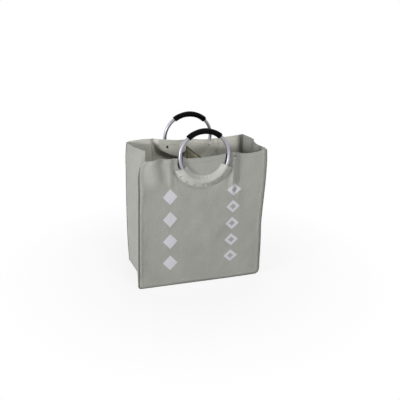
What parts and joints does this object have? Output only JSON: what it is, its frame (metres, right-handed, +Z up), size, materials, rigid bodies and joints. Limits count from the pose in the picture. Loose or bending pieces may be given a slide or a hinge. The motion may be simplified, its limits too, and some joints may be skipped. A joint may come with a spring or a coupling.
{
  "type": "laundry hamper",
  "caption": "Standing fabric laundry hamper with a divider that makes left and right bins, folding side gussets, and a round tube carry handle with foam grip on each long side.",
  "frame": {"origin": "on the floor, under the middle of the bag", "axes": "+X along the long side to the right bin, +Y from the front panel to the back panel, +Z up"},
  "size_m": [0.45, 0.2636, 0.5778],
  "materials": {
    "grey_cloth": "matte coated woven cloth",
    "dark_cord": "matte woven tape over cord",
    "olive_cloth": "matte woven cloth",
    "dark_tape": "matte woven tape",
    "ring_aluminium": "satin",
    "black_foam": "soft closed-cell foam"
  },
  "bodies": {
    "bag_back": {"bottom_panel": "grey_cloth", "divider": "olive_cloth", "divider_binding": "dark_tape", "back_panel": "grey_cloth", "back_handle_patch": "grey_cloth", "back_piping": "dark_cord"},
    "left_back_fold": {"left_gusset_back": "grey_cloth"},
    "left_front_fold": {"left_gusset_front": "grey_cloth"},
    "right_back_fold": {"right_gusset_back": "grey_cloth"},
    "right_front_fold": {"right_gusset_front": "grey_cloth"},
    "bag_front": {"front_panel": "grey_cloth", "front_handle_patch": "grey_cloth", "front_piping": "dark_cord"},
    "front_handle": {"front_ring": "ring_aluminium", "front_ring_joiner": "ring_aluminium", "front_grip": "black_foam"},
    "back_handle": {"back_ring": "ring_aluminium", "back_ring_joiner": "ring_aluminium", "back_grip": "black_foam"}
  },
  "joints": [
    {"name": "left_back_seam", "type": "hinge", "parent": "bag_back", "child": "left_back_fold", "pos_m": [-0.2225, 0.1075, 0.25], "axis": [0, 0, 1], "range_deg": [0, 72], "deforming": ["bottom_panel", "divider", "divider_binding"]},
    {"name": "left_crease", "type": "hinge", "parent": "left_back_fold", "child": "left_front_fold", "pos_m": [-0.20739, 0, 0.25], "axis": [0, 0, 1], "range_deg": [-144, 0]},
    {"name": "left_front_seam", "type": "hinge", "parent": "left_front_fold", "child": "bag_front", "pos_m": [-0.2225, -0.1075, 0.25], "axis": [0, 0, 1], "range_deg": [0, 72]},
    {"name": "right_back_seam", "type": "hinge", "parent": "bag_back", "child": "right_back_fold", "pos_m": [0.2225, 0.1075, 0.25], "axis": [0, 0, 1], "range_deg": [-72, 0]},
    {"name": "right_crease", "type": "hinge", "parent": "right_back_fold", "child": "right_front_fold", "pos_m": [0.20739, 0, 0.25], "axis": [0, 0, 1], "range_deg": [0, 144]},
    {"name": "front_ring_turn", "type": "hinge", "parent": "bag_front", "child": "front_handle", "pos_m": [-0.0005, -0.1163, 0.478], "axis": [0, 0.9962, -0.0872], "range_deg": [-38, 38]},
    {"name": "back_ring_turn", "type": "hinge", "parent": "bag_back", "child": "back_handle", "pos_m": [0.0075, 0.1163, 0.482], "axis": [0, 0.9962, 0.0872], "range_deg": [-40, 40]}
  ],
  "couplings": [
    {"joint": "left_crease", "follows": "left_back_seam", "ratio": -2},
    {"joint": "left_front_seam", "follows": "left_back_seam", "ratio": 1},
    {"joint": "right_back_seam", "follows": "left_back_seam", "ratio": -1},
    {"joint": "right_crease", "follows": "left_back_seam", "ratio": 2}
  ]
}
